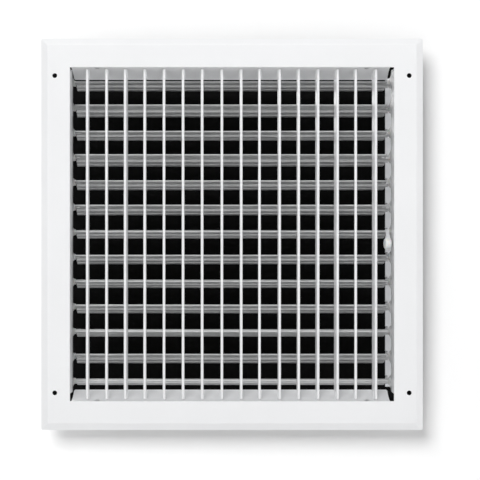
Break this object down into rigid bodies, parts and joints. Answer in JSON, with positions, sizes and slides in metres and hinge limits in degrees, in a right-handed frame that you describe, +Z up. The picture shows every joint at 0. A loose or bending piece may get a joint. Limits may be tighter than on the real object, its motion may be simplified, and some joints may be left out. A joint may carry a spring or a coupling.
{
  "type": "louvred air grille",
  "caption": "Square white supply-air grille: screw-on stamped face, upright fins that turn singly, and a bladed damper behind them worked by one lever.",
  "frame": {"origin": "centre of the four screw holes, on the front surface of the face", "axes": "-Y out of the face into the room, +Y into the duct, +Z up along the fins, +X to the right seen from the room"},
  "size_m": [0.349, 0.0545, 0.358],
  "materials": {
    "face_paint": "white powder coat, satin",
    "fin_paint": "white powder coat, satin",
    "rail_paint": "white powder coat, satin",
    "strip_metal": "galvanised, dull",
    "blade_metal": "galvanised, dull",
    "linkage_metal": "galvanised, dull",
    "rivet_metal": "mill finish",
    "knob_plastic": "white moulded plastic",
    "bushing_plastic": "natural nylon"
  },
  "bodies": {
    "frame": {"face_frame": "face_paint", "fin_strip_top": "strip_metal", "fin_strip_bottom": "strip_metal", "fin_strip_rivets": "rivet_metal", "damper_rail_left": "rail_paint", "damper_rail_right": "rail_paint", "pivot_bushings_left": "bushing_plastic", "pivot_bushings_right": "bushing_plastic"},
    "fin_01_body": {"fin_01": "fin_paint"},
    "fin_02_body": {"fin_02": "fin_paint"},
    "fin_03_body": {"fin_03": "fin_paint"},
    "fin_04_body": {"fin_04": "fin_paint"},
    "fin_05_body": {"fin_05": "fin_paint"},
    "fin_06_body": {"fin_06": "fin_paint"},
    "fin_07_body": {"fin_07": "fin_paint"},
    "fin_08_body": {"fin_08": "fin_paint"},
    "fin_09_body": {"fin_09": "fin_paint"},
    "fin_10_body": {"fin_10": "fin_paint"},
    "fin_11_body": {"fin_11": "fin_paint"},
    "fin_12_body": {"fin_12": "fin_paint"},
    "fin_13_body": {"fin_13": "fin_paint"},
    "fin_14_body": {"fin_14": "fin_paint"},
    "fin_15_body": {"fin_15": "fin_paint"},
    "fin_16_body": {"fin_16": "fin_paint"},
    "damper_blade_01_body": {"damper_blade_01": "blade_metal"},
    "damper_blade_02_body": {"damper_blade_02": "blade_metal"},
    "damper_blade_03_body": {"damper_blade_03": "blade_metal"},
    "damper_blade_04_body": {"damper_blade_04": "blade_metal"},
    "damper_blade_05_body": {"damper_blade_05": "blade_metal"},
    "damper_blade_06_body": {"damper_blade_06": "blade_metal"},
    "lever_blade_body": {"damper_blade_07": "blade_metal", "damper_lever": "linkage_metal", "lever_rivets": "rivet_metal", "lever_knob": "knob_plastic"},
    "damper_blade_08_body": {"damper_blade_08": "blade_metal"},
    "damper_blade_09_body": {"damper_blade_09": "blade_metal"},
    "damper_blade_10_body": {"damper_blade_10": "blade_metal"},
    "damper_blade_11_body": {"damper_blade_11": "blade_metal"},
    "damper_blade_12_body": {"damper_blade_12": "blade_metal"},
    "damper_blade_13_body": {"damper_blade_13": "blade_metal"},
    "linkage_body": {"linkage_bar": "linkage_metal"}
  },
  "joints": [
    {"name": "fin_01_turn", "type": "hinge", "parent": "frame", "child": "fin_01_body", "pos_m": [-0.1323, 0.011, 0], "axis": [0, 0, 1], "range_deg": [-42.5, 47.5]},
    {"name": "fin_02_turn", "type": "hinge", "parent": "frame", "child": "fin_02_body", "pos_m": [-0.11476, 0.011, 0], "axis": [0, 0, 1], "range_deg": [-44, 46]},
    {"name": "fin_03_turn", "type": "hinge", "parent": "frame", "child": "fin_03_body", "pos_m": [-0.09722, 0.011, 0], "axis": [0, 0, 1], "range_deg": [-38, 52]},
    {"name": "fin_04_turn", "type": "hinge", "parent": "frame", "child": "fin_04_body", "pos_m": [-0.07968, 0.011, 0], "axis": [0, 0, 1], "range_deg": [-42.5, 47.5]},
    {"name": "fin_05_turn", "type": "hinge", "parent": "frame", "child": "fin_05_body", "pos_m": [-0.06214, 0.011, 0], "axis": [0, 0, 1], "range_deg": [-44, 46]},
    {"name": "fin_06_turn", "type": "hinge", "parent": "frame", "child": "fin_06_body", "pos_m": [-0.0446, 0.011, 0], "axis": [0, 0, 1], "range_deg": [-42.5, 47.5]},
    {"name": "fin_07_turn", "type": "hinge", "parent": "frame", "child": "fin_07_body", "pos_m": [-0.02706, 0.011, 0], "axis": [0, 0, 1], "range_deg": [-41.5, 48.5]},
    {"name": "fin_08_turn", "type": "hinge", "parent": "frame", "child": "fin_08_body", "pos_m": [-0.00952, 0.011, 0], "axis": [0, 0, 1], "range_deg": [-48, 42]},
    {"name": "fin_09_turn", "type": "hinge", "parent": "frame", "child": "fin_09_body", "pos_m": [0.00802, 0.011, 0], "axis": [0, 0, 1], "range_deg": [-50, 40]},
    {"name": "fin_10_turn", "type": "hinge", "parent": "frame", "child": "fin_10_body", "pos_m": [0.02556, 0.011, 0], "axis": [0, 0, 1], "range_deg": [-40.5, 49.5]},
    {"name": "fin_11_turn", "type": "hinge", "parent": "frame", "child": "fin_11_body", "pos_m": [0.0431, 0.011, 0], "axis": [0, 0, 1], "range_deg": [-51, 39]},
    {"name": "fin_12_turn", "type": "hinge", "parent": "frame", "child": "fin_12_body", "pos_m": [0.06064, 0.011, 0], "axis": [0, 0, 1], "range_deg": [-50, 40]},
    {"name": "fin_13_turn", "type": "hinge", "parent": "frame", "child": "fin_13_body", "pos_m": [0.07818, 0.011, 0], "axis": [0, 0, 1], "range_deg": [-52.5, 37.5]},
    {"name": "fin_14_turn", "type": "hinge", "parent": "frame", "child": "fin_14_body", "pos_m": [0.09572, 0.011, 0], "axis": [0, 0, 1], "range_deg": [-56, 34]},
    {"name": "fin_15_turn", "type": "hinge", "parent": "frame", "child": "fin_15_body", "pos_m": [0.11326, 0.011, 0], "axis": [0, 0, 1], "range_deg": [-45, 45]},
    {"name": "fin_16_turn", "type": "hinge", "parent": "frame", "child": "fin_16_body", "pos_m": [0.1308, 0.011, 0], "axis": [0, 0, 1], "range_deg": [-56, 34]},
    {"name": "damper_lever_turn", "type": "hinge", "parent": "frame", "child": "lever_blade_body", "pos_m": [0, 0.042, 0.0027], "axis": [-1, 0, 0], "range_deg": [-17, 60]},
    {"name": "damper_blade_01_turn", "type": "hinge", "parent": "frame", "child": "damper_blade_01_body", "pos_m": [0, 0.042, 0.14238], "axis": [-1, 0, 0], "range_deg": [-18, 61]},
    {"name": "damper_blade_02_turn", "type": "hinge", "parent": "frame", "child": "damper_blade_02_body", "pos_m": [0, 0.042, 0.1191], "axis": [-1, 0, 0], "range_deg": [-18, 61]},
    {"name": "damper_blade_03_turn", "type": "hinge", "parent": "frame", "child": "damper_blade_03_body", "pos_m": [0, 0.042, 0.09582], "axis": [-1, 0, 0], "range_deg": [-18, 61]},
    {"name": "damper_blade_04_turn", "type": "hinge", "parent": "frame", "child": "damper_blade_04_body", "pos_m": [0, 0.042, 0.07254], "axis": [-1, 0, 0], "range_deg": [-18, 61]},
    {"name": "damper_blade_05_turn", "type": "hinge", "parent": "frame", "child": "damper_blade_05_body", "pos_m": [0, 0.042, 0.04926], "axis": [-1, 0, 0], "range_deg": [-18, 61]},
    {"name": "damper_blade_06_turn", "type": "hinge", "parent": "frame", "child": "damper_blade_06_body", "pos_m": [0, 0.042, 0.02598], "axis": [-1, 0, 0], "range_deg": [-18, 61]},
    {"name": "damper_blade_08_turn", "type": "hinge", "parent": "frame", "child": "damper_blade_08_body", "pos_m": [0, 0.042, -0.02058], "axis": [-1, 0, 0], "range_deg": [-18, 61]},
    {"name": "damper_blade_09_turn", "type": "hinge", "parent": "frame", "child": "damper_blade_09_body", "pos_m": [0, 0.042, -0.04386], "axis": [-1, 0, 0], "range_deg": [-18, 61]},
    {"name": "damper_blade_10_turn", "type": "hinge", "parent": "frame", "child": "damper_blade_10_body", "pos_m": [0, 0.042, -0.06714], "axis": [-1, 0, 0], "range_deg": [-18, 61]},
    {"name": "damper_blade_11_turn", "type": "hinge", "parent": "frame", "child": "damper_blade_11_body", "pos_m": [0, 0.042, -0.09042], "axis": [-1, 0, 0], "range_deg": [-18, 61]},
    {"name": "damper_blade_12_turn", "type": "hinge", "parent": "frame", "child": "damper_blade_12_body", "pos_m": [0, 0.042, -0.1137], "axis": [-1, 0, 0], "range_deg": [-18, 61]},
    {"name": "damper_blade_13_turn", "type": "hinge", "parent": "frame", "child": "damper_blade_13_body", "pos_m": [0, 0.042, -0.13698], "axis": [-1, 0, 0], "range_deg": [-18, 61]},
    {"name": "linkage_shift", "type": "hinge", "parent": "lever_blade_body", "child": "linkage_body", "pos_m": [0.1459, 0.04976, 0.00616], "axis": [-1, 0, 0], "range_deg": [-61, 18]}
  ],
  "couplings": [
    {"joint": "damper_blade_01_turn", "follows": "damper_lever_turn", "ratio": 1},
    {"joint": "damper_blade_02_turn", "follows": "damper_lever_turn", "ratio": 1},
    {"joint": "damper_blade_03_turn", "follows": "damper_lever_turn", "ratio": 1},
    {"joint": "damper_blade_04_turn", "follows": "damper_lever_turn", "ratio": 1},
    {"joint": "damper_blade_05_turn", "follows": "damper_lever_turn", "ratio": 1},
    {"joint": "damper_blade_06_turn", "follows": "damper_lever_turn", "ratio": 1},
    {"joint": "damper_blade_08_turn", "follows": "damper_lever_turn", "ratio": 1},
    {"joint": "damper_blade_09_turn", "follows": "damper_lever_turn", "ratio": 1},
    {"joint": "damper_blade_10_turn", "follows": "damper_lever_turn", "ratio": 1},
    {"joint": "damper_blade_11_turn", "follows": "damper_lever_turn", "ratio": 1},
    {"joint": "damper_blade_12_turn", "follows": "damper_lever_turn", "ratio": 1},
    {"joint": "damper_blade_13_turn", "follows": "damper_lever_turn", "ratio": 1},
    {"joint": "linkage_shift", "follows": "damper_lever_turn", "ratio": -1}
  ]
}
